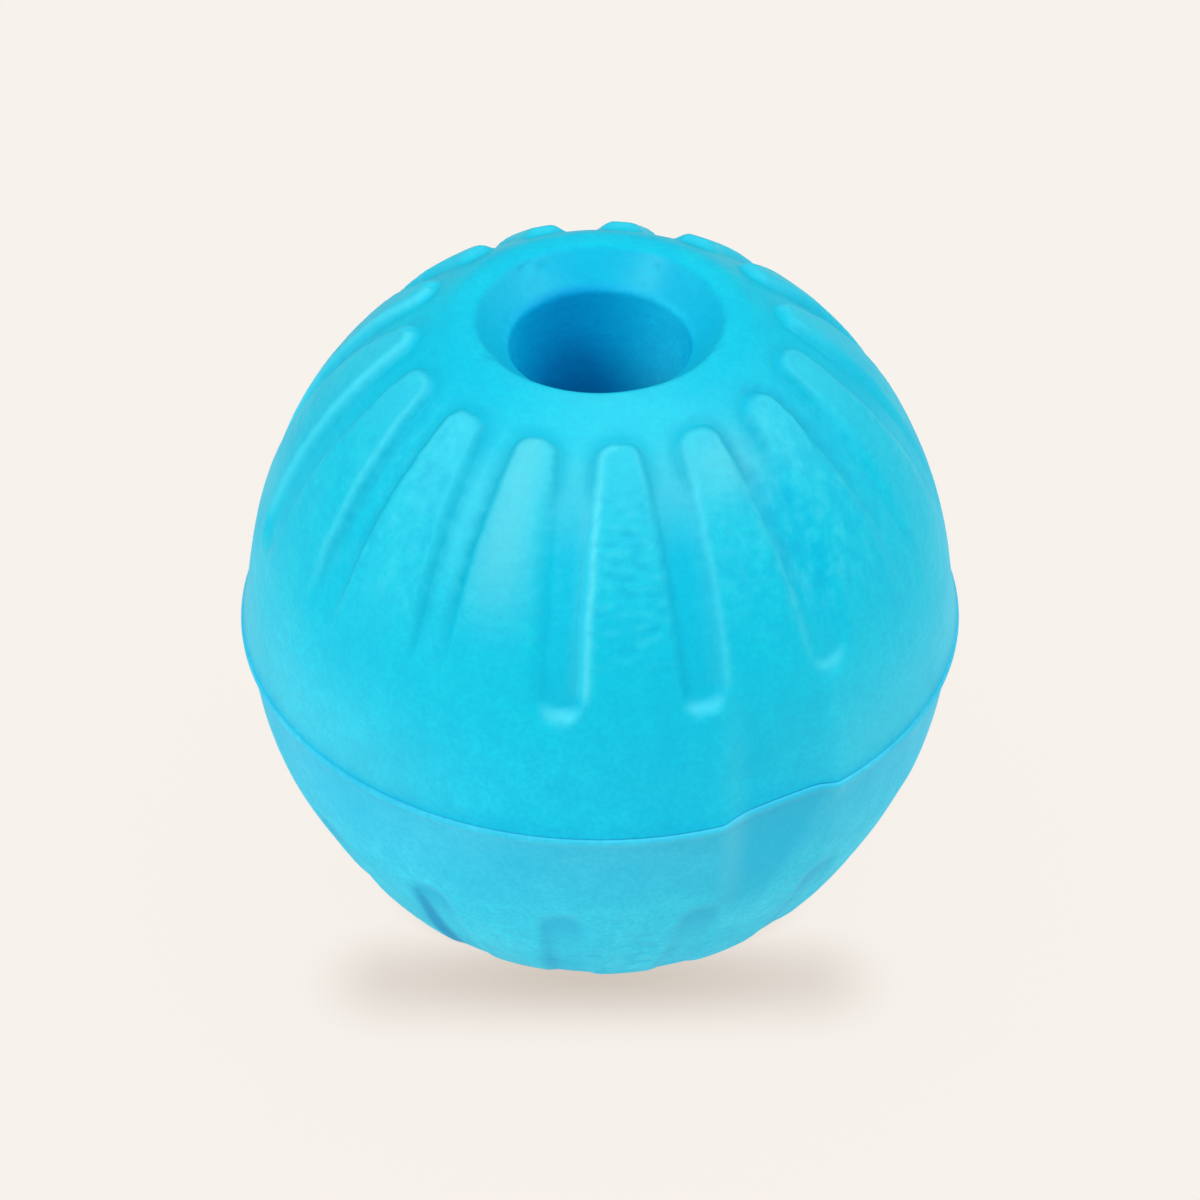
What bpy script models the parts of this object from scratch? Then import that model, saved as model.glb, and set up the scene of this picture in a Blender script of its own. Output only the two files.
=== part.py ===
"""Dog ball: two foam-rubber half mouldings cemented face to face at the seam.

Both halves have one form. Each carries raised lobes parted by finger grooves,
a countersunk mouth and half of the bore, which runs through the ball along Z.
A shallow trimmed dish crosses the seam where the mould was fed.
A ring of cured cement lies in the facing glue grooves of the joint faces.
"""
import math

import bmesh
import bpy

for leftover in list(bpy.data.objects):
    bpy.data.objects.remove(leftover)

# Driving dimensions, in millimetres and degrees
MM = 0.001

# Outside of the ball: the lobes and the band share one level, an ellipsoid with eased shoulders
SEAM_RADIUS = 35.0
LEVEL_RADIUS = 34.2
LEVEL_POLE = 38.2
SHOULDER_EASE = 0.004
FLARE_HEIGHT = 3.2
RIM_HEIGHT = 33.9

# Lobes, and the recessed cap and finger grooves between them
LOBES = 15
RELIEF = 0.87
GROOVE_WIDTH = 3.7
WALL_RUN = 0.8
TIP_ANGLE = 31.0
GROOVE_END_ANGLE = 71.0
TIP_CORNER = (1.1, 1.6)
END_CORNER = (1.2, 1.4)
FLANK_ROWS = 4
LOBE_STEPS = (-1.0, -0.8, -0.45, 0.45, 0.8, 1.0)
FLOOR_STEPS = (-1.0, -0.5, 0.5, 1.0)

# Trimmed dish across the seam, which rises there
DISH_ANGLE = 24.0
DISH_HALF_ANGLE = 10.5
DISH_DEPTH = 0.8
DISH_REACH = 9.0
SEAM_RISE = 0.6
RISE_REACH = 3.5

# Mouth and bore, with draft for the core pin
MOUTH_RADIUS = 11.65
BORE_RADIUS = 8.48
BORE_SEAM_RADIUS = 8.25
MOUTH_DEPTH = 3.1
BORE_COLUMNS = 45

# Joint faces, their glue grooves and the cement ring
SEAM_GAP = 0.3
CEMENT_INNER = 20.3
CEMENT_OUTER = 23.3
CEMENT_HALF_HEIGHT = 1.35
CEMENT_EASE = 0.4
CEMENT_GAP = 0.3

# Looks: linear colours, roughness, and the angle past which an edge stays sharp
UPPER_COLOUR = (0.005, 0.570, 0.790, 1.0)
LOWER_COLOUR = (0.027, 0.580, 0.820, 1.0)
FOAM_ROUGHNESS = 0.6
CEMENT_COLOUR = (0.55, 0.42, 0.18, 1.0)
CEMENT_ROUGHNESS = 0.4
SHARP_EDGE = math.radians(30.0)

SECTOR = math.radians(360.0 / LOBES)
TIP = math.radians(TIP_ANGLE)
GROOVE_END = math.radians(GROOVE_END_ANGLE)
DISH = math.radians(DISH_ANGLE)
DISH_HALF = math.radians(DISH_HALF_ANGLE)


def level_point(theta, depth):
    """Radius and height on the raised level, lowered by depth along the ellipsoid's normal."""
    ease = 1.0 - SHOULDER_EASE * math.sin(2.0 * theta) ** 2
    normal = (math.sin(theta) / LEVEL_RADIUS, math.cos(theta) / LEVEL_POLE)
    length = math.hypot(*normal)
    radius = LEVEL_RADIUS * math.sin(theta) * ease - depth * normal[0] / length
    height = LEVEL_POLE * math.cos(theta) * ease - depth * normal[1] / length
    return radius, height


def angle_of_run(theta, run):
    """Polar angle that a run along the surface takes up at theta."""
    return run / math.hypot(LEVEL_RADIUS * math.cos(theta), LEVEL_POLE * math.sin(theta))


def theta_at_height(height, depth):
    """Polar angle at which the lowered surface reaches a height."""
    low, high = 0.0, math.pi / 2
    for _ in range(40):
        middle = (low + high) / 2
        if level_point(middle, depth)[1] > height:
            low = middle
        else:
            high = middle
    return low


def corner_drop(distance, half_width, corner):
    """Run by which a rounded corner falls away at a distance from the middle line."""
    across, along = corner
    share = (distance - (half_width - across)) / across
    share = min(max(share, 0.0), 1.0)
    return along * (1.0 - math.sqrt(1.0 - share * share))


def polar(radius, angle, height):
    """Point in metres; angle 0 is the middle of the lobe that faces -Y."""
    return (
        radius * math.sin(angle) * MM,
        -radius * math.cos(angle) * MM,
        height * MM,
    )


def trimmed(radius, angle, height, side):
    """Point of the skin, dished in and lifted near the trimmed spot; side is 1 above, -1 below."""
    off = (angle - DISH + math.pi) % (2.0 * math.pi) - math.pi
    share = max(1.0 - (off / DISH_HALF) ** 2, 0.0)
    radius -= DISH_DEPTH * share * math.exp(-((height / DISH_REACH) ** 2))
    rise = SEAM_RISE * share * math.exp(-((height / RISE_REACH) ** 2))
    return polar(radius, angle, side * height + rise)


def columns(theta):
    """Columns of one sector at theta: is it lobe, angle from the lobe's middle, mm from the groove's."""
    radius = level_point(theta, 0.0)[0]
    lobe_half = SECTOR / 2 - (GROOVE_WIDTH + WALL_RUN) / 2 / radius
    floor_half = (GROOVE_WIDTH - WALL_RUN) / 2 / radius
    found = []
    for step in LOBE_STEPS:
        angle = step * lobe_half
        found.append((True, angle, (SECTOR / 2 - abs(angle)) * radius))
    for step in FLOOR_STEPS:
        angle = SECTOR / 2 + step * floor_half
        found.append((False, angle, abs(step) * floor_half * radius))
    return found


def relief_ring(theta, lobe_depth, floor_depth, rounding=None):
    """Radius, angle and height round the ball at theta; lobes and grooves may lie at two levels."""
    sector = []
    for index, (is_lobe, angle, from_groove) in enumerate(columns(theta)):
        turn = theta
        if rounding:
            turn += rounding(from_groove)
            angle = columns(turn)[index][1]
        radius, height = level_point(turn, lobe_depth if is_lobe else floor_depth)
        sector.append((radius, angle, height))
    return [(r, angle + i * SECTOR, z) for i in range(LOBES) for r, angle, z in sector]


def tip_rounding(half_width):
    """Rounded corners of the lobe tips, as a change of polar angle."""
    def change(from_groove):
        from_lobe = SECTOR / 2 * level_point(TIP, 0.0)[0] - from_groove
        return angle_of_run(TIP, corner_drop(from_lobe, half_width, TIP_CORNER))
    return change


def end_rounding(half_width):
    """Rounded lower ends of the grooves, as a change of polar angle."""
    def change(from_groove):
        return -angle_of_run(GROOVE_END, corner_drop(from_groove, half_width, END_CORNER))
    return change


def circle(radius, height, count):
    """Plain ring of points round the Z axis."""
    return [polar(radius, 2.0 * math.pi * i / count, height) for i in range(count)]


def loft(mesh, rings, closed):
    """Skin a stack of rings that have the same number of points; return their vertices."""
    stack = [[mesh.verts.new(point) for point in ring] for ring in rings]
    pairs = list(zip(stack, stack[1:]))
    if closed:
        pairs.append((stack[-1], stack[0]))
    for lower, upper in pairs:
        count = len(lower)
        for i in range(count):
            j = (i + 1) % count
            mesh.faces.new((lower[i], lower[j], upper[j], upper[i]))
    return stack


def bridge(mesh, first, second):
    """Close the flat ring between two loops with different numbers of points."""
    edges = []
    for loop in (first, second):
        for i, vertex in enumerate(loop):
            edges.append(mesh.edges.get((vertex, loop[(i + 1) % len(loop)])))
    bmesh.ops.bridge_loops(mesh, edges=edges)


def foam_skin():
    """Rings of the lobed outside of a half, from the seam to the rim land."""
    joint = SEAM_GAP / 2
    groove_half = GROOVE_WIDTH / 2
    wall_half = WALL_RUN / 2
    lobe_half = SECTOR / 2 * level_point(TIP, 0.0)[0] - groove_half
    wall_tip = angle_of_run(TIP, wall_half)
    wall_end = angle_of_run(GROOVE_END, wall_half)
    rings = []

    # Flared lip at the seam, then the smooth band
    for share in (0.0, 0.3, 1.0):
        height = joint + share * (FLARE_HEIGHT - joint)
        theta = math.acos(height / LEVEL_POLE)
        lip = (SEAM_RADIUS - LEVEL_RADIUS) * (1.0 - share) ** 2
        rings.append(relief_ring(theta, -lip, -lip))
    rings.append(relief_ring((theta + GROOVE_END) / 2, 0.0, 0.0))

    # Lower ends of the grooves, the lobe flanks and the lobe tips
    rings.append(relief_ring(
        GROOVE_END + wall_end, 0.0, 0.0, end_rounding(groove_half + wall_half)))
    rings.append(relief_ring(
        GROOVE_END - wall_end, 0.0, RELIEF, end_rounding(groove_half - wall_half)))
    bottom = GROOVE_END - wall_end - angle_of_run(GROOVE_END, END_CORNER[1])
    top = TIP + wall_tip + angle_of_run(TIP, TIP_CORNER[1])
    for row in range(1, FLANK_ROWS + 1):
        theta = bottom + (top - bottom) * row / (FLANK_ROWS + 1)
        rings.append(relief_ring(theta, 0.0, RELIEF))
    rings.append(relief_ring(
        TIP + wall_tip, 0.0, RELIEF, tip_rounding(lobe_half - wall_half)))
    rings.append(relief_ring(
        TIP - wall_tip, RELIEF, RELIEF, tip_rounding(lobe_half + wall_half)))

    # Recessed cap up to the flat land round the mouth
    land = theta_at_height(RIM_HEIGHT, RELIEF)
    rings.append(relief_ring((TIP - wall_tip + land) / 2, RELIEF, RELIEF))
    rings.append(relief_ring(land, RELIEF, RELIEF))
    return rings


def foam_inside():
    """Radius and height through the mouth, bore, joint face and glue groove of a half."""
    joint = SEAM_GAP / 2
    inner = CEMENT_INNER - CEMENT_GAP
    outer = CEMENT_OUTER + CEMENT_GAP
    roof = CEMENT_HALF_HEIGHT + CEMENT_GAP
    return [
        (MOUTH_RADIUS, RIM_HEIGHT),
        (BORE_RADIUS, RIM_HEIGHT - MOUTH_DEPTH),
        (BORE_SEAM_RADIUS, joint),
        (inner, joint),
        (inner, roof),
        (outer, roof),
        (outer, joint),
    ]


def foam_half(side):
    """Skin, mouth, bore and joint face of a half in one closed moulding; side is 1 above, -1 below."""
    half = bmesh.new()
    skin_rings = [[trimmed(*point, side) for point in ring] for ring in foam_skin()]
    inside_rings = [circle(radius, side * height, BORE_COLUMNS) for radius, height in foam_inside()]
    skin = loft(half, skin_rings, closed=False)
    inside = loft(half, inside_rings, closed=False)
    bridge(half, skin[-1], inside[0])
    bridge(half, inside[-1], skin[0])
    return finished(half)


def add_node(name, data, colour, roughness):
    """Place a mesh in the scene as a named node with its own material."""
    material = bpy.data.materials.new(name)
    material.use_nodes = True
    shader = material.node_tree.nodes["Principled BSDF"]
    shader.inputs["Base Color"].default_value = colour
    shader.inputs["Roughness"].default_value = roughness
    data.materials.clear()
    data.materials.append(material)
    node = bpy.data.objects.new(name, data)
    bpy.context.scene.collection.objects.link(node)
    return node


def finished(mesh):
    """Mesh data of a closed body that faces out, smooth but for its real edges."""
    bmesh.ops.recalc_face_normals(mesh, faces=mesh.faces)
    data = bpy.data.meshes.new("body")
    mesh.to_mesh(data)
    mesh.free()
    data.shade_smooth()
    data.set_sharp_from_angle(angle=SHARP_EDGE)
    return data


# Upper half
add_node("upper_half", foam_half(1), UPPER_COLOUR, FOAM_ROUGHNESS)

# Lower half: the same form below the seam, with its lobes in line with those above
add_node("lower_half", foam_half(-1), LOWER_COLOUR, FOAM_ROUGHNESS)

# Seam cement: the cured ring that fills the facing glue grooves, with eased edges
ring = bmesh.new()
eased = CEMENT_HALF_HEIGHT - CEMENT_EASE
ring_profile = [
    (CEMENT_INNER, -eased),
    (CEMENT_INNER + CEMENT_EASE, -CEMENT_HALF_HEIGHT),
    (CEMENT_OUTER - CEMENT_EASE, -CEMENT_HALF_HEIGHT),
    (CEMENT_OUTER, -eased),
    (CEMENT_OUTER, eased),
    (CEMENT_OUTER - CEMENT_EASE, CEMENT_HALF_HEIGHT),
    (CEMENT_INNER + CEMENT_EASE, CEMENT_HALF_HEIGHT),
    (CEMENT_INNER, eased),
]
loft(ring, [circle(radius, height, BORE_COLUMNS) for radius, height in ring_profile], closed=True)
add_node("seam_cement", finished(ring), CEMENT_COLOUR, CEMENT_ROUGHNESS)
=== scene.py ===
# Dog ball: two moulded foam-rubber halves cemented face to face, with a bore along Z for a rope.
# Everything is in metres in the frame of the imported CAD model; the sizes below are in millimetres.
import math

import bpy
import numpy as np
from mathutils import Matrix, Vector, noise


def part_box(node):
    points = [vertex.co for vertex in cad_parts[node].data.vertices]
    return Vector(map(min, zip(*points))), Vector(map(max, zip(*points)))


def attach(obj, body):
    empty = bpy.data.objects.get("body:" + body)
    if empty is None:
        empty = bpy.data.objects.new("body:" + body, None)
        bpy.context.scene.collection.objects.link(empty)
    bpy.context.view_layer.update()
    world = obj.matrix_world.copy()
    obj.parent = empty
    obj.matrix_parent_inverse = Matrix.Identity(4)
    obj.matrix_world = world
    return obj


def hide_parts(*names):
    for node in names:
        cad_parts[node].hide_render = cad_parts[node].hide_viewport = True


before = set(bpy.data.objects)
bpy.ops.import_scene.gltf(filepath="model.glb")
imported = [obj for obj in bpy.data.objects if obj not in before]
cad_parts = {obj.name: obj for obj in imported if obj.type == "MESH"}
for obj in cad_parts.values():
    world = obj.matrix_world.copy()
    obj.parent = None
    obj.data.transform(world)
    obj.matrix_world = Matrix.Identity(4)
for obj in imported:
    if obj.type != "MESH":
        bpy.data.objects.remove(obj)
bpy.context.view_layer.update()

# UPPER HALF
# One half of the ball, moulded in closed-cell foam rubber and dyed cyan all through.
# Fifteen raised lobes stand between finger grooves that run down from a recessed cap.
# A countersunk mouth leads into the bore, and the flat joint face below carries a glue groove.

# Sizes of the half in mm, of the ellipsoid that its lobes and band follow, and of the flare to the seam
MM = 0.001
SEAM_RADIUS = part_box("upper_half")[1].x / MM
RIM_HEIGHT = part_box("upper_half")[1].z / MM
LEVEL_RADIUS = 34.2
LEVEL_POLE = 38.2
SHOULDER_EASE = 0.004
FLARE_HEIGHT = 5.0
LIP_SETBACK = 0.3
LIP_EDGE = 0.12
# Lobes and grooves in mm, with the tips and the groove ends in degrees from the pole
LOBES = 15
SECTOR = 2.0 * math.pi / LOBES
RELIEF = 0.87
GROOVE_WIDTH = 3.7
WALL_FOOT = 0.45
WALL_BROW = 0.65
WALL_REACH = 2.85
TIP_ANGLE = 31.0
TIP_CORNER = 1.5
GROOVE_END_ANGLE = 71.0
END_CORNER = 1.45
END_SLOPE = 0.65
# Mouth, bore, and joint face with its glue groove, in mm
MOUTH_RADIUS = 11.65
MOUTH_DEPTH = 3.1
BORE_RADIUS = 8.48
BORE_SEAM_RADIUS = 8.25
JOINT_FACE = 0.01
GLUE_INNER = 20.0
GLUE_OUTER = 23.6
GLUE_ROOF = 1.65

# The level of the lobes and the band as one curve from the seam up, with the run along it
turn = np.linspace(math.pi / 2, math.radians(12.0), 4000)
ease = 1.0 - SHOULDER_EASE * np.sin(2.0 * turn) ** 2
level = np.stack([LEVEL_RADIUS * np.sin(turn), LEVEL_POLE * np.cos(turn)], 1) * ease[:, None]
level_run = np.concatenate([[0.0], np.cumsum(np.linalg.norm(np.diff(level, axis=0), axis=1))])
tip_run = np.interp(math.radians(90.0 - TIP_ANGLE), math.pi / 2 - turn, level_run)
end_run = np.interp(math.radians(90.0 - GROOVE_END_ANGLE), math.pi / 2 - turn, level_run)


def normals(line):
    """Normals of a line of (radius, height) points, on the side of the air."""
    along = np.gradient(line, axis=0)
    along /= np.linalg.norm(along, axis=1)[:, None]
    return np.stack([along[:, 1], -along[:, 0]], 1)


def eased(corners, reaches, steps=7):
    """A line through corners, each inner one rounded off over its reach."""
    corners = [np.array(c, float) for c in corners]
    line = [corners[0]]
    for before, corner, after, reach in zip(corners, corners[1:], corners[2:], reaches):
        start = corner + reach * (before - corner) / np.linalg.norm(before - corner)
        end = corner + reach * (after - corner) / np.linalg.norm(after - corner)
        for t in np.linspace(0.0, 1.0, steps):
            line.append((1 - t) ** 2 * start + 2 * t * (1 - t) * corner + t ** 2 * end)
    line.append(corners[-1])
    return np.array(line)


def filled(line, spacing):
    """The same line with more points, none further apart than the spacing."""
    points = [line[0]]
    for a, b in zip(line, line[1:]):
        count = max(1, math.ceil(np.linalg.norm(b - a) / spacing))
        points.extend(a + (b - a) * (i + 1) / count for i in range(count))
    return np.array(points)


def smooth(x, low, high):
    """0 below low, 1 above high, and an even S between."""
    t = np.clip((x - low) / (high - low), 0.0, 1.0)
    return t * t * (3.0 - 2.0 * t)


def bell(x, centre, width):
    """1 at the centre, fading out evenly to both sides over a width."""
    return np.exp(-((x - centre) / width) ** 2)


def grain(points, size, seed):
    """Soft random values from -1 to 1 at points in millimetres, with features of a size."""
    shift = np.array([11.3, 7.7, 5.1]) * seed
    return np.array([noise.noise(p) for p in points / size + shift])


def drawn_grain(angle, per_radian, run, length, seed):
    """Soft random values with so many features a radian round the ball, and a length in mm along the run."""
    points = np.stack([per_radian * np.sin(angle), per_radian * np.cos(angle),
                       np.full(len(angle), run / length)], 1)
    return grain(points, 1.0, seed)


def column_angles(radius):
    """Angles round the ball, close together on the groove walls; angle 0 is the lobe that faces -Y."""
    half = SECTOR / 2 * radius
    reach = min(WALL_REACH, 0.82 * half)
    near = np.concatenate([[0.0, 0.4, 0.8], np.linspace(1.1, WALL_REACH, 13)]) * reach / WALL_REACH
    far = reach + (half - reach) * np.array([0.1, 0.24, 0.4, 0.58, 0.78, 1.0])
    side = np.concatenate([near, far]) / radius
    sector = np.concatenate([SECTOR / 2 - side[::-1], SECTOR / 2 + side[1:-1]])
    return (sector[None, :] + SECTOR * np.arange(LOBES)[:, None]).ravel()


def recess_distance(angle, radius, run):
    """Distance in mm from the edge of the sunk cap and grooves, below 0 inside them."""
    across = np.abs((angle % SECTOR) - SECTOR / 2) * radius
    corner_x = across - GROOVE_WIDTH / 2 + END_CORNER
    corner_y = END_SLOPE * (end_run - run) + END_CORNER
    groove = np.hypot(np.maximum(corner_x, 0.0), np.maximum(corner_y, 0.0))
    groove += np.minimum(np.maximum(corner_x, corner_y), 0.0) - END_CORNER
    cap = tip_run - run
    fillet = np.hypot(np.maximum(TIP_CORNER - groove, 0.0), np.maximum(TIP_CORNER - cap, 0.0))
    return np.maximum(TIP_CORNER, np.minimum(groove, cap)) - fillet


def half_profile(lip, edge, relief):
    """Parts of a half's outline as lines of (radius, height) points, and the runs of its skin."""
    start = 1.5 * edge + 0.4
    flare = lip - LEVEL_RADIUS
    seam_edge = eased(
        [(lip - 1.6, JOINT_FACE), (lip - 0.35 * edge, JOINT_FACE), (lip, 0.9 * edge),
         (LEVEL_RADIUS + flare * (1.0 - start / FLARE_HEIGHT) ** 2, start)],
        [0.5 * edge, 0.6 * edge])[:-1]
    # Rows of the skin stand closest where the grooves end and round the tips of the lobes
    skin_runs = np.concatenate([
        np.linspace(start, 3.4, 9)[:-1],
        np.linspace(3.4, end_run - 1.7, 9)[:-1],
        np.linspace(end_run - 1.7, end_run + 2.6, 26)[:-1],
        np.linspace(end_run + 2.6, tip_run - 2.8, 80)[:-1],
        np.linspace(tip_run - 2.8, tip_run + 1.4, 26),
    ])
    skin = np.stack([np.interp(skin_runs, level_run, level[:, i]) for i in (0, 1)], 1)
    skin[:, 0] += flare * np.maximum(1.0 - skin[:, 1] / FLARE_HEIGHT, 0.0) ** 2
    lowered = level - relief * normals(level)
    brow = lowered[int(np.argmax(level_run > tip_run + 1.7))]
    land = lowered[int(np.argmax(lowered[:, 1] > RIM_HEIGHT))]
    mouth = filled(eased(
        [brow, land, (MOUTH_RADIUS, RIM_HEIGHT),
         (BORE_RADIUS, RIM_HEIGHT - MOUTH_DEPTH), (BORE_RADIUS - 0.02, RIM_HEIGHT - 6.0)],
        [1.05, 0.5, 0.4]), 0.3)
    bore = filled(np.array([mouth[-1], (BORE_SEAM_RADIUS, JOINT_FACE)]), 1.5)[1:]
    joint = np.array([
        (GLUE_INNER, JOINT_FACE), (GLUE_INNER, GLUE_ROOF),
        (GLUE_OUTER, GLUE_ROOF), (GLUE_OUTER, JOINT_FACE)])
    return (seam_edge, skin, mouth, bore, joint), skin_runs


# Tones that each point of a half carries for its material, as strengths from 0 to 1. In what follows, turned
# is a point's bearing from the front in radians, to the right, and run its way up the skin in mm.
# Most are painted light and shade: shade in grooves, creases, lines and the bore, highlights and sheen on the
# skin.
TONES = ("groove", "crease", "painted_highlight", "inner", "brightened", "painted_sheen", "scuffed", "lined")


def seam_lip(tone, turned, side):
    """Tones of the seam lip: a painted highlight in front on the lower half, a line of painted shade on the
    upper.
    """
    if side > 0:
        tone["crease"] += 0.3
        tone["brightened"] += 1.0
    else:
        tone["painted_highlight"] += 0.15 * bell(turned, 0.2, 0.45)
        tone["brightened"] += 0.2


# A trimmed spot where the mould was fed: a shallow dish across the seam, which rises there
DISH_ANGLE = math.radians(24.0)
DISH_HALF = math.radians(10.5)
DISH_DEPTH = 0.75
SEAM_RISE = 0.6


def trimmed_dish(tone, turned, radius, height, side):
    """Tones of the dish along one row, with its depth and the rise of the seam there in mm."""
    fades = math.exp(-(height / 13.0) ** 4)
    left_edge = (turned - DISH_ANGLE + DISH_HALF) * radius
    right_edge = (turned - DISH_ANGLE - DISH_HALF) * radius
    if side > 0:
        reach, left_pale, right_pale = 9.0, 0.2, 0.18
    else:
        reach, left_pale, right_pale = 12.0, 0.4, 0.16
        right_edge += 0.4 * height
    # Painted shade inside the dish, and painted highlights along its edges
    tone["groove"] += 0.9 * fades * smooth(left_edge, 0.0, 2.2) * (1.0 - smooth(right_edge, -2.0, 0.6))
    tone["painted_highlight"] += left_pale * fades * bell(left_edge, 1.6, 1.2)
    tone["painted_highlight"] += right_pale * fades * smooth(right_edge, -1.8, 1.8) * bell(right_edge, 0.0, 7.0)
    hollow = np.maximum(1.0 - ((turned - DISH_ANGLE) / DISH_HALF) ** 2, 0.0)
    depth = DISH_DEPTH * hollow * bell(height, 0.0, reach)
    rise = SEAM_RISE * smooth(hollow, 0.0, 0.75) * bell(height, 0.0, 3.5)
    return depth, rise


# Wear of the grooves, as use rubs some of them nearly flush, with the light and shade painted on them. The
# columns are the share of the depth left at the end, the run in mm over which it is lost, the painted
# highlight at the end and the painted shade of the floor, which below 0 turns to a painted highlight. Then
# come, for the left and for the right wall, the width of the brow in mm and the strength of its painted
# highlight and of its dark line of painted shade. Groove 0 is right of the front lobe, and the count goes on
# to the right, up to 14.
GROOVE_WEAR_AND_LIGHT = np.tile((1.0, 1.0, 0.3, 1.0, 0.65, 0.2, 0.4, 0.65, 0.2, 0.4), (LOBES, 1))
GROOVE_WEAR_AND_LIGHT[[14, 0, 1, 2, 3]] = [
    (1.00, 1.0, 0.9, 1.2, 1.5, 0.0, 0.1, 0.5, 0.9, 0.0),
    (1.00, 1.0, 0.8, 1.3, 0.9, 0.0, 0.25, 0.7, 0.4, 0.0),
    (0.60, 14.0, 0.6, 1.0, 1.4, 0.3, 0.3, 1.3, 0.0, 0.1),
    (0.10, 22.0, 0.0, 0.6, 1.3, 0.0, 0.2, 1.4, 0.0, 0.2),
    (0.20, 22.0, 0.0, 0.6, 1.3, 0.0, 0.2, 1.3, 0.0, 0.2),
]
GROOVE_WEAR_AND_LIGHT[[13, 12, 11, 10]] = [
    (0.05, 7.0, 0.0, -0.4, 0.7, 0.1, 0.6, 0.7, 0.0, 0.9),
    (0.05, 7.0, 0.0, 0.2, 0.7, 0.5, 0.8, 0.9, 0.0, 0.6),
    (0.60, 5.0, 0.0, 0.6, 0.9, 0.7, 0.6, 0.9, 0.0, 0.3),
    (1.00, 1.0, 0.0, 1.0, 0.7, 0.7, 0.5, 0.7, 0.0, 0.3),
]


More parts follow.
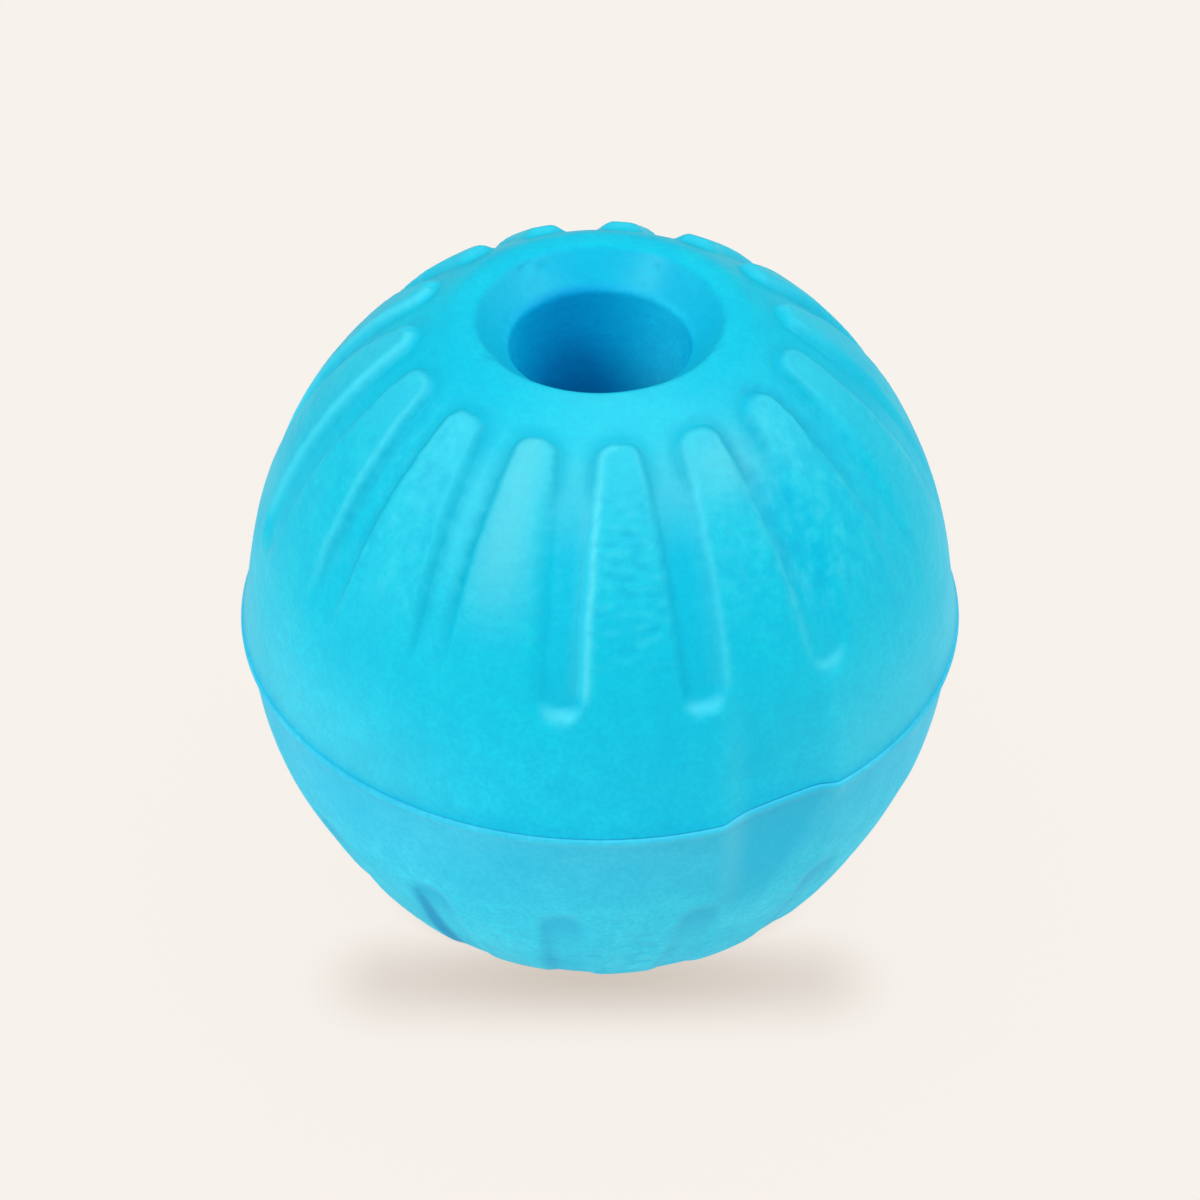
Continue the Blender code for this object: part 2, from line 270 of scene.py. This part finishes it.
def worn_and_lit_skin(tone, place, angle, turned, radius, height, run, side, relief, worn_and_lit, seed):
    """Tones of wear and painted light and shade on one row of lobes and grooves, and its push outward in mm.
    """
    from_end = run - end_run
    past_tip = run - tip_run
    at_tip = smooth(past_tip, -7.0, -3.0)
    back = smooth(np.abs(turned), 1.2, 2.0)
    depth_left, lost_over, end_pale, floor_tone = worn_and_lit[:, :4].T
    right = angle % SECTOR > SECTOR / 2
    brow, pale, dark = np.where(right[:, None], worn_and_lit[:, 7:10], worn_and_lit[:, 4:7]).T

    # Ragged edge of the recess: slow waves, gathers in the skin and a fine grain
    gathers = drawn_grain(angle, 7.0, run, 0.9, seed + 3)
    torn = 0.08 + 0.04 * bell(np.abs(turned), 0.85, 0.4)
    edge = recess_distance(angle, radius, run)
    edge += 0.12 * grain(place, 2.6, seed) + torn * gathers + 0.06 * grain(place, 0.9, seed + 1)

    # Depth of the recess, from 0 on the lobes to 1 on its floor, and the painted shade of the floor, which
    # turns to a painted highlight where its tone is below 0
    share = depth_left + (1.0 - depth_left) * smooth(from_end, 0.0, lost_over)
    brow = brow + (WALL_BROW + 0.6 * back - brow) * at_tip
    wall = np.clip((edge + WALL_FOOT) / (WALL_FOOT + brow), 0.0, 1.0) ** 0.8
    sunk = (1.0 - smooth(wall, 0.0, 1.0)) * share
    raised = 1.0 - sunk
    floor = sunk * smooth(-past_tip, 1.0, 8.0) * floor_tone
    tone["groove"] = np.maximum(tone["groove"], floor)
    if side < 0:
        tone["groove"] *= 1.0 - 0.8 * smooth(from_end, 1.5, 7.0)
    tone["painted_highlight"] += np.maximum(-floor, 0.0) * smooth(from_end, 4.0, 16.0)

    # Painted shade: dark lines at the foot of the walls, broad and even round the tips
    along = share * smooth(from_end, 0.5, 3.0)
    ragged = np.clip(0.8 + 0.45 * gathers, 0.0, 1.0)
    ragged = ragged + (0.9 - ragged) * at_tip
    dark = dark * (0.4 + 0.6 * smooth(from_end, 2.0, 14.0))
    dark = dark + (0.55 - 0.42 * back - dark) * at_tip
    if side > 0:
        aside = smooth(np.abs(turned), 0.3, 0.5)
        inset = 0.1 + 0.3 * np.maximum(at_tip, aside)
        width = 0.4 + 0.3 * aside + (0.45 - 0.2 * aside) * at_tip
        tone["lined"] += 1.15 * dark * along * ragged * bell(edge, -inset, width)
    else:
        tone["crease"] += dark * along * ragged * bell(edge, -0.1 - 0.3 * at_tip, 0.85)

    # Painted highlights: pale lines along the brows, pale walls below them, and the pale ends of the front
    # grooves
    edge_pale = pale + np.maximum(0.2 - 0.2 * back - pale, 0.0) * at_tip
    tone["painted_highlight"] += edge_pale * along * bell(edge, 0.4, 0.42)
    across = np.abs(angle % SECTOR - SECTOR / 2) * radius
    tone["painted_highlight"] += 0.4 * pale * sunk * along * (1.0 - at_tip) * smooth(across, 0.0, 1.8)
    tone["painted_highlight"] += end_pale * (1.0 - smooth(from_end, -0.2, 1.4)) * bell(edge, -0.05, 0.5)

    # Painted highlights as pale washes: two lobes on the left, all the tips, and the cap in front
    tone["painted_highlight"] += 0.22 * bell(turned, -0.46, 0.11) * raised * smooth(from_end, 4.0, 14.0)
    tone["painted_highlight"] += 0.2 * bell(turned, -0.84, 0.12) * raised * smooth(from_end, 0.0, 10.0)
    tone["painted_highlight"] += 0.32 * raised * smooth(past_tip, -14.0, 0.0)
    tone["painted_highlight"] += 0.35 * bell(turned, 0.0, 0.6) * sunk * smooth(past_tip, -9.0, -1.0)

    if side > 0:
        # Painted shade just above the seam, and banked up beside the lobes on the right
        tone["crease"] += 0.3 * bell(height, 0.0, 1.1)
        banked = ~right * bell(turned, 0.75, 0.3) * along * smooth(from_end, 5.0, 15.0)
        banked = banked * np.clip(0.6 + gathers, 0.0, 1.0)
        tone["crease"] += 0.5 * banked * bell(edge, -0.9, 0.7)

        # Scuffs on the lobes at both sides, left off the band and the cap
        sides = bell(turned, 0.7, 0.35) + 0.8 * bell(turned, -0.9, 0.35)
        tone["scuffed"] += sides * smooth(from_end, 2.0, 9.0) * (1.0 - smooth(past_tip, -2.0, 1.2))

        # Painted sheen: the band at both sides, the first lobe on the left, the front, and tips on the right
        high_lobes = raised * smooth(from_end, 5.0, 15.0)
        off_cap = 1.0 - smooth(past_tip, -4.0, 1.2)
        tone["painted_sheen"] += 0.22 * bell(height, 0.0, 8.0) * smooth(np.abs(turned), 0.3, 0.9)
        tone["painted_sheen"] += 0.3 * bell(turned, -0.45, 0.12) * high_lobes
        tone["painted_sheen"] += 0.05 * bell(turned, 0.1, 0.35) * high_lobes
        tone["painted_sheen"] += 0.2 * bell(turned, 0.0, 0.6) * sunk * smooth(past_tip, -12.0, -5.0) * off_cap
        tone["painted_sheen"] += 0.25 * bell(turned, 0.5, 0.2) * smooth(past_tip, -9.0, -4.0) * off_cap

    # Short lines drawn across the lobes, most of all on the front one: shallow dents with painted shade in
    # them and painted highlights between them
    dashes = drawn_grain(angle, 20.0, run, 0.8, seed + 5)
    marked = (0.3 + 0.7 * bell(turned, 0.0, 0.2)) * raised
    marked = marked * smooth(from_end, 2.0, 8.0) * (1.0 - at_tip)
    drawn = marked * smooth(dashes, 0.15, 0.45)
    tone["crease"] += 0.22 * drawn
    tone["painted_highlight"] += 0.2 * marked * smooth(-dashes, 0.1, 0.45)

    # The level wanders a little, on the lower half in two broad waves, and the colour turns brighter near the
    # seam on the upper half and further from it on the lower
    push = 0.05 * grain(place, 6.0, seed + 2) - 0.06 + 0.012 * gathers - relief * sunk - 0.1 * drawn
    if side > 0:
        tone["brightened"] += 1.0 - smooth(run, 3.0, 15.0)
    else:
        tone["brightened"] += smooth(run, 3.0, 16.0)
        polar = math.degrees(math.atan2(radius, height))
        push += 0.2 * bell(polar, 41.0, 5.5) - 0.3 * bell(polar, 59.0, 9.0)
    return push


# Nicks in the mouth from trimming: angle in degrees, radius, height, size and depth in mm
NICKS = [
    (-144.8, 11.1, 33.4, 0.55, 0.22),
    (-149.5, 11.3, 33.6, 0.45, 0.20),
    (-154.5, 10.6, 32.9, 0.50, 0.22),
    (145.3, 10.6, 32.9, 0.35, 0.20),
    (149.0, 9.2, 31.5, 0.30, 0.16),
    (-65.5, 11.7, 33.7, 0.60, 0.30),
    (63.2, 11.7, 33.7, 0.40, 0.18),
]
# Painted highlights in the mouth: angle in degrees, half-width in mm and strength
PATCHES = [(-150.0, 2.4, 0.2), (147.0, 1.6, 0.4)]


def countersink(tone, place, turned, radius, side, seed):
    """Tones of the mouth and the land round it along one row, and its push outward in mm."""
    sloped = 1.0 - smooth(radius, MOUTH_RADIUS - 0.5, MOUTH_RADIUS + 0.3)
    # Painted shade, bluer and deeper in tone, on the slope of the mouth
    tone["groove"] += sloped
    tone["inner"] += 0.1 * sloped
    tone["crease"] += 0.08 * sloped
    for degrees, width, strength in PATCHES:
        tone["painted_highlight"] += strength * sloped * bell((turned - math.radians(degrees)) * radius, 0.0, width)
    # A painted highlight on the land in front of the mouth
    tone["painted_highlight"] += 0.35 * bell(turned, 0.0, 0.6) * smooth(radius, MOUTH_RADIUS, MOUTH_RADIUS + 0.6)
    push = 0.04 * grain(place, 4.0, seed + 2) - 0.04
    if side > 0:
        for degrees, at, high, size, depth in NICKS:
            bearing = math.radians(degrees)
            centre = np.array([at * math.sin(bearing), -at * math.cos(bearing), high])
            push -= depth * bell(np.linalg.norm(place - centre, axis=1), 0.0, size)
    return push


def bore_wall(tone, angle, radius, height):
    """Painted light and shade in one row of the bore: bluer and darker where unlit, most at the back, paler
    lit sides.
    """
    bored = 1.0 - smooth(radius, BORE_RADIUS + 0.1, BORE_RADIUS + 0.8)
    below = RIM_HEIGHT - height
    behind = angle % (2.0 * math.pi) - math.pi
    sides = bell(behind, -1.0, 0.7) + 0.6 * bell(behind, 1.35, 0.35)
    streak = 1.2 * bell(behind, 0.25, 0.5) * (0.6 + 0.4 * smooth(below, 5.0, 14.0))
    wanted = {
        "crease": streak + 0.4 * smooth(below, 9.0, 15.0) * (1.0 - sides),
        "inner": 1.0 - sides,
        "painted_highlight": sides * (0.08 + 0.12 * smooth(below, 5.0, 14.0)),
        "brightened": sides,
        "groove": 0.0,
    }
    for label, strength in wanted.items():
        tone[label] += bored * (strength - tone[label])


def moulded_half(name, side, lip, edge, relief, wear_and_light, seed):
    """Closed mesh of a half; side is 1 above and -1 below, lip its seam radius and edge its rounding."""
    parts, skin_runs = half_profile(lip, edge, relief)
    line = np.concatenate(parts)
    facing = np.concatenate([normals(part) for part in parts])
    first_skin, first_mouth, first_bore = np.cumsum([len(part) for part in parts])[:3]
    columns = len(column_angles(LEVEL_RADIUS))
    worn_and_lit = wear_and_light[np.repeat(np.arange(LOBES), columns // LOBES)]
    points = np.zeros((len(line), columns, 3))
    tones = {label: np.zeros((len(line), columns)) for label in TONES}
    for row, ((radius, height), (out, up)) in enumerate(zip(line, facing)):
        angle = column_angles(radius)
        turned = (angle + math.pi) % (2.0 * math.pi) - math.pi
        place = np.stack([radius * np.sin(angle), -radius * np.cos(angle),
                          np.full(columns, side * height)], 1)
        tone = {label: tones[label][row] for label in TONES}
        push, cut, lift = 0.0, 0.0, 0.0
        if row < first_skin:
            seam_lip(tone, turned, side)
        if row < first_mouth:
            cut, lift = trimmed_dish(tone, turned, radius, height, side)
        if first_skin <= row < first_mouth:
            run = skin_runs[row - first_skin]
            push = worn_and_lit_skin(tone, place, angle, turned, radius, height, run, side, relief, worn_and_lit, seed)
        if first_mouth <= row < first_bore:
            push = countersink(tone, place, turned, radius, side, seed)
        if row >= first_mouth:
            bore_wall(tone, angle, radius, height)
        points[row, :, 0] = (radius - cut + push * out) * np.sin(angle)
        points[row, :, 1] = -(radius - cut + push * out) * np.cos(angle)
        points[row, :, 2] = side * (height + push * up) + lift
        for label in TONES:
            tones[label][row] = tone[label]

    index = np.arange(len(line) * columns).reshape(len(line), columns)
    next_row = np.roll(index, -1, 0)
    next_column = np.roll(index, -1, 1)
    quads = np.stack([index, next_column, np.roll(next_row, -1, 1), next_row], 2).reshape(-1, 4)
    if side < 0:
        quads = quads[:, ::-1]
    mesh = bpy.data.meshes.new(name)
    mesh.from_pydata((points.reshape(-1, 3) * MM).tolist(), [], quads.tolist())
    for label in TONES:
        mesh.attributes.new(label, "FLOAT", "POINT").data.foreach_set("value", tones[label].ravel())
    mesh.shade_smooth()
    mesh.set_sharp_from_angle(angle=math.radians(45.0))
    piece = bpy.data.objects.new(name, mesh)
    bpy.context.scene.collection.objects.link(piece)
    return piece


def linear(code):
    """An sRGB hex colour as linear RGBA."""
    parts = [int(code[i:i + 2], 16) / 255.0 for i in (1, 3, 5)]
    return [c / 12.92 if c <= 0.04045 else ((c + 0.055) / 1.055) ** 2.4 for c in parts] + [1.0]


def add(tree, kind, inputs=(), **settings):
    """Add a shader node with its settings; an input is a value or the socket that feeds it.

    A Mix node's inputs go by number: 0 is the factor, 2 and 3 are its numbers, and 6 and 7 its colours.
    """
    made = tree.nodes.new("ShaderNode" + kind)
    for key, value in settings.items():
        setattr(made, key, value)
    for key, value in dict(inputs).items():
        if isinstance(value, bpy.types.NodeSocket):
            tree.links.new(value, made.inputs[key])
        else:
            made.inputs[key].default_value = value
    return made


# Closed-cell foam rubber, dyed through and moulded against a matt tool. It shows a satin skin with a weak,
# broad gloss and a slightly mottled cyan, with painted shade where it is deeper and painted highlights and
# sheen where it is paler.
# Shared colours: a bluer painted shade for the bore, painted shade for creases (also the dull scuffs), a teal
# painted shade for the lines round the lobes, and a painted sheen
BORE_SHADE_BLUE = "#00B9EA"
CREASE_SHADE = "#0090CC"
LINE_TEAL = "#00B5D3"
PAINTED_SHEEN_TONE = "#75D1DA"


def foam_rubber(name, body, deep, pale, brighter, grooves):
    """The foam in a half's own colours; grooves is the share of the deep colour painted as shade on their
    floors.
    """
    material = bpy.data.materials.new(name)
    material.use_nodes = True
    tree = material.node_tree
    tree.nodes.clear()
    place = add(tree, "TexCoord").outputs["Object"]

    # Dye that took unevenly: clouds of 9 mm, blotches of 2 mm and specks of 0.5 mm, as features per metre
    clouds = add(tree, "TexNoise", {"Vector": place, "Scale": 110.0, "Detail": 3.0}).outputs["Fac"]
    blotches = add(tree, "TexNoise", {"Vector": place, "Scale": 500.0, "Detail": 2.0}).outputs["Fac"]
    specks = add(tree, "TexNoise", {"Vector": place, "Scale": 2000.0, "Detail": 2.0}).outputs["Fac"]
    # Scuffs drawn down the lobes where teeth and floors rub them, about 1.2 mm wide and 3 mm long
    drawn_down = add(tree, "Mapping", {"Vector": place, "Scale": (1.0, 1.0, 0.4)}).outputs[0]
    scuffs = add(tree, "TexNoise", {"Vector": drawn_down, "Scale": 850.0, "Detail": 3.0}).outputs["Fac"]
    tones = {label: add(tree, "Attribute", attribute_name=label).outputs["Fac"] for label in TONES}
    for label, low, high in (("bright", 0.50, 0.66), ("dull", 0.47, 0.33)):
        picked = add(tree, "MapRange", {"Value": scuffs, "From Min": low, "From Max": high}).outputs[0]
        picked = add(tree, "Math", {0: picked, 1: tones["scuffed"]}, operation="MULTIPLY")
        tones[label] = picked.outputs[0]
    colour = linear(body)
    # Tones over the body colour: brighter parts, mottled dye, scuffs, painted shade in grooves, lines, bore
    # and creases, and painted highlights and sheen
    for value, low, high, share, tone in (
            (tones["brightened"], 0.0, 1.0, 1.0, brighter),
            (clouds, 0.40, 0.65, 0.30, deep),
            (blotches, 0.35, 0.65, 0.30, deep),
            (specks, 0.35, 0.70, 0.42, deep),
            (tones["groove"], 0.0, 1.0, grooves, deep),
            (tones["painted_highlight"], 0.0, 1.0, 0.7, pale),
            (tones["bright"], 0.0, 1.0, 0.2, pale),
            (tones["dull"], 0.0, 1.0, 0.16, CREASE_SHADE),
            (tones["painted_sheen"], 0.0, 1.0, 1.0, PAINTED_SHEEN_TONE),
            (tones["lined"], 0.0, 1.0, 1.0, LINE_TEAL),
            (tones["inner"], 0.0, 1.0, 1.0, BORE_SHADE_BLUE),
            (tones["crease"], 0.0, 1.0, 0.7, CREASE_SHADE)):
        mixed = add(tree, "MapRange", {
            "Value": value, "From Min": low, "From Max": high, "To Max": share}).outputs[0]
        colour = add(tree, "Mix", {0: mixed, 6: colour, 7: linear(tone)}, data_type="RGBA").outputs[2]

    # Skin of the foam: orange peel of 1.2 mm, flow wrinkles of 1 by 4 mm across the lobes, and closed cells,
    # which are drawn at 0.3 mm, a little coarser than real, so that they show
    peel = add(tree, "TexNoise", {"Vector": place, "Scale": 830.0, "Detail": 2.0}).outputs["Fac"]
    cells = add(tree, "TexNoise", {"Vector": place, "Scale": 3300.0, "Detail": 2.0}).outputs["Fac"]
    drawn = add(tree, "Mapping", {"Vector": place, "Scale": (0.35, 0.35, 1.6)}).outputs[0]
    wrinkles = add(tree, "TexNoise", {
        "Vector": drawn, "Scale": 700.0, "Detail": 2.0, "Distortion": 0.6}).outputs["Fac"]
    skin = add(tree, "Bump", {"Height": peel, "Strength": 0.6, "Distance": 0.00016}).outputs[0]
    skin = add(tree, "Bump", {
        "Height": wrinkles, "Strength": 0.18, "Distance": 0.00012, "Normal": skin}).outputs[0]
    skin = add(tree, "Bump", {
        "Height": cells, "Strength": 0.3, "Distance": 0.00004, "Normal": skin}).outputs[0]
    satin = add(tree, "MapRange", {
        "Value": clouds, "From Min": 0.3, "From Max": 0.7, "To Min": 0.45, "To Max": 0.55}).outputs[0]
    # A foam skin holds back most of the gloss that solid rubber has
    shader = add(tree, "BsdfPrincipled", {
        "Base Color": colour, "Roughness": satin, "Normal": skin, "IOR": 1.48,
        "Specular IOR Level": 0.13})
    add(tree, "OutputMaterial", {"Surface": shader.outputs[0]})
    return material


upper = moulded_half(
    "upper_moulding", side=1, lip=SEAM_RADIUS - LIP_SETBACK, edge=LIP_EDGE, relief=RELIEF, wear_and_light=GROOVE_WEAR_AND_LIGHT, seed=1)
upper.data.materials.append(foam_rubber(
    "cyan_foam_rubber_upper", body="#0ACDE6", deep="#00B9DF", pale="#58E2F6",
    brighter="#12D4F3", grooves=0.35))
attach(upper, "root")
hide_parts("upper_half")

# LOWER HALF
# The same moulding turned over, so its lobes line up with those above, and cemented on at the seam.
# Its foam has worn paler and its grooves shallower, and only some left walls keep a dark line of painted
# shade.
# Its rounded lip stands a little proud of the upper one and catches the light.
WORN_RELIEF = 0.22
PROUD_SETBACK = 0.04
ROUNDED_EDGE = 0.5
# Wear and painted light and shade in the same columns as for the upper half, with the dark line of painted
# shade on the left wall for four grooves in front
LEFT_DARK = 6
WORN_FLUSH_AND_SHADE = np.tile((1.0, 1.0, 0.0, 1.0, 0.9, 0.0, 0.0, 0.9, 0.0, 0.0), (LOBES, 1))
WORN_FLUSH_AND_SHADE[[13, 14, 0, 1], LEFT_DARK] = 2.4, 0.6, 0.3, 0.6
lower = moulded_half(
    "lower_moulding", side=-1, lip=SEAM_RADIUS - PROUD_SETBACK, edge=ROUNDED_EDGE,
    relief=WORN_RELIEF, wear_and_light=WORN_FLUSH_AND_SHADE, seed=9)
lower.data.materials.append(foam_rubber(
    "cyan_foam_rubber_lower", body="#40D1F2", deep="#22BFE7", pale="#6EDDF2",
    brighter="#36E4FF", grooves=0.8))
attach(lower, "root")
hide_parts("lower_half")

# SEAM CEMENT
# A ring of cured contact cement in the facing glue grooves, hidden inside the closed ball.
# It is brushed on, so it dries amber and uneven, in streaks of 2.5 mm with bubbles of 0.7 mm.
cement = bpy.data.materials.new("amber_contact_cement")
cement.use_nodes = True
tree = cement.node_tree
tree.nodes.clear()
place = add(tree, "TexCoord").outputs["Object"]
streaks = add(tree, "TexNoise", {"Vector": place, "Scale": 400.0, "Detail": 3.0}).outputs["Fac"]
bubbles = add(tree, "TexVoronoi", {"Vector": place, "Scale": 1400.0}).outputs["Distance"]
amber = add(tree, "Mix", {
    0: streaks, 6: linear("#A9761F"), 7: linear("#D9B45C")}, data_type="RGBA").outputs[2]
dried = add(tree, "Bump", {"Height": bubbles, "Strength": 0.4, "Distance": 0.0002}).outputs[0]
gloss = add(tree, "MapRange", {"Value": streaks, "To Min": 0.28, "To Max": 0.5}).outputs[0]
shader = add(tree, "BsdfPrincipled", {
    "Base Color": amber, "Roughness": gloss, "Normal": dried, "IOR": 1.5})
add(tree, "OutputMaterial", {"Surface": shader.outputs[0]})
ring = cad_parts["seam_cement"]
ring.material_slots[0].link = "OBJECT"
ring.material_slots[0].material = cement

# FLOOR
# A plain studio floor of cream paper that the ball rests on with its lower rim.
# The camera sees it at an even cream, with a painted soft shadow that follows where the ball hides the room
# from it.
CREAM = "#F7F2EC"
SHADOW = "#C5B9AD"
UNDER_BORE = "#2B4450"
SHADOW_REACH = 0.035
SHADOW_LEFT_OPEN = 0.92
SHOT_ANGLE = math.radians(-5.5)
FLOOR_HALF = 3.0
FLOOR_Z = -RIM_HEIGHT * MM
floor_mesh = bpy.data.meshes.new("floor")
floor_mesh.from_pydata(
    [(-FLOOR_HALF, -FLOOR_HALF, FLOOR_Z), (FLOOR_HALF, -FLOOR_HALF, FLOOR_Z),
     (FLOOR_HALF, FLOOR_HALF, FLOOR_Z), (-FLOOR_HALF, FLOOR_HALF, FLOOR_Z)], [], [(0, 1, 2, 3)])
floor = bpy.data.objects.new("floor", floor_mesh)
bpy.context.scene.collection.objects.link(floor)
paper = bpy.data.materials.new("cream_paper_floor")
paper.use_nodes = True
tree = paper.node_tree
tree.nodes.clear()
seen = add(tree, "LightPath").outputs["Is Camera Ray"]
open_sky = add(tree, "AmbientOcclusion", {"Distance": SHADOW_REACH}, samples=32).outputs["AO"]
spot = add(tree, "TexCoord").outputs["Object"]
# The painted shadow is full in an oval before the ball and in a ring of contact, and nearly gone elsewhere.
# Each is given by its centre, half size and flat middle, and by where it starts and ends to fade.
faint = []
for centre, half, flat, start, end in (
        ((-0.00176, -0.0183, 0.0), (0.0105, 0.0094, 1.0), (1.95, 0.0, 0.0), 0.0, 1.0),
        ((0.0, 0.0, 0.0), (0.006, 0.006, 1.0), (0.0, 0.0, 0.0), 2.2, 3.9)):
    oval = add(tree, "Mapping", {
        "Vector": spot, "Location": centre, "Rotation": (0.0, 0.0, SHOT_ANGLE), "Scale": half},
        vector_type="TEXTURE").outputs[0]
    oval = add(tree, "VectorMath", {0: oval}, operation="ABSOLUTE").outputs[0]
    oval = add(tree, "VectorMath", {0: oval, 1: flat}, operation="SUBTRACT").outputs[0]
    oval = add(tree, "VectorMath", {0: oval, 1: (0.0, 0.0, 0.0)}, operation="MAXIMUM").outputs[0]
    away = add(tree, "VectorMath", {0: oval}, operation="LENGTH").outputs["Value"]
    faint.append(add(tree, "MapRange", {
        "Value": away, "From Min": start, "From Max": end, "To Max": SHADOW_LEFT_OPEN},
        interpolation_type="SMOOTHSTEP").outputs[0])
faintest = add(tree, "Math", {0: faint[0], 1: faint[1]}, operation="MINIMUM").outputs[0]
light_left = add(tree, "Mix", {0: faintest, 2: open_sky, 3: 1.0}).outputs[0]
tone = add(tree, "Mix", {
    0: light_left, 6: linear(SHADOW), 7: linear(CREAM)}, data_type="RGBA").outputs[2]
# Painted dark shade right under the bore, where almost no light comes in
lit = add(tree, "MapRange", {
    "Value": open_sky, "From Max": 0.12}, interpolation_type="SMOOTHSTEP").outputs[0]
tone = add(tree, "Mix", {0: lit, 6: linear(UNDER_BORE), 7: tone}, data_type="RGBA").outputs[2]
shown = add(tree, "Emission", {"Color": tone, "Strength": 1.0}).outputs[0]
matte = add(tree, "BsdfDiffuse", {"Color": linear(CREAM)}).outputs[0]
surface = add(tree, "MixShader", {0: seen, 1: matte, 2: shown}).outputs[0]
add(tree, "OutputMaterial", {"Surface": surface})
floor_mesh.materials.append(paper)

# LIGHT
# An even white room with two soft boxes, one before the ball on the left and one beside it on the right.
# Two weaker boxes stand lower at the sides and a faint one behind. White that faces them renders about white.
ROOM_LIGHT = 0.33
BOX_DISTANCE = 0.8
BOX_SIZE = 0.4
world = bpy.data.worlds.new("studio")
bpy.context.scene.world = world
world.use_nodes = True
tree = world.node_tree
tree.nodes.clear()
seen = add(tree, "LightPath").outputs["Is Camera Ray"]
room = add(tree, "Background", {"Color": (1.0, 1.0, 1.0, 1.0), "Strength": ROOM_LIGHT}).outputs[0]
backdrop = add(tree, "Background", {"Color": linear(CREAM), "Strength": 1.0}).outputs[0]
surface = add(tree, "MixShader", {0: seen, 1: room, 2: backdrop}).outputs[0]
add(tree, "OutputWorld", {"Surface": surface})
# Height and bearing in degrees, and the share of white to which a box lights what faces it
for name, height, bearing, share in (
        ("front_left_box", 42.0, -50.0, 0.50),
        ("right_box", 50.0, 75.0, 0.43),
        ("left_side_box", 35.0, -100.0, 0.14),
        ("right_side_box", 30.0, 105.0, 0.12),
        ("back_box", 50.0, 180.0, 0.05)):
    lamp = bpy.data.lights.new(name, "AREA")
    lamp.size = BOX_SIZE
    lamp.energy = share * (math.pi * BOX_DISTANCE) ** 2
    box = bpy.data.objects.new(name, lamp)
    up = math.radians(height)
    round_z = math.radians(bearing)
    box.location = (BOX_DISTANCE * math.cos(up) * math.sin(round_z),
                    -BOX_DISTANCE * math.cos(up) * math.cos(round_z),
                    BOX_DISTANCE * math.sin(up))
    box.rotation_euler = (-box.location).to_track_quat("-Z", "Y").to_euler()
    bpy.context.scene.collection.objects.link(box)

# CAMERA
# Placed as in the photograph: a little left of the front lobe and well above the ball.
# It is close, with a lens of 137 mm, so the ball shows the photograph's perspective.
SHOT_HEIGHT = math.radians(39.3)
SHOT_DISTANCE = 0.4445
camera = bpy.data.objects.new("camera", bpy.data.cameras.new("camera"))
camera.data.lens = 137.0
camera.data.sensor_width = 36.0
camera.location = (SHOT_DISTANCE * math.sin(SHOT_ANGLE) * math.cos(SHOT_HEIGHT),
                   -SHOT_DISTANCE * math.cos(SHOT_ANGLE) * math.cos(SHOT_HEIGHT),
                   SHOT_DISTANCE * math.sin(SHOT_HEIGHT))
camera.rotation_euler = (-camera.location).to_track_quat("-Z", "Y").to_euler()
camera.data.clip_start = 0.01
camera.data.clip_end = 20.0
bpy.context.scene.collection.objects.link(camera)
bpy.context.scene.camera = camera
bpy.context.scene.view_settings.view_transform = "Standard"

bpy.context.view_layer.update()
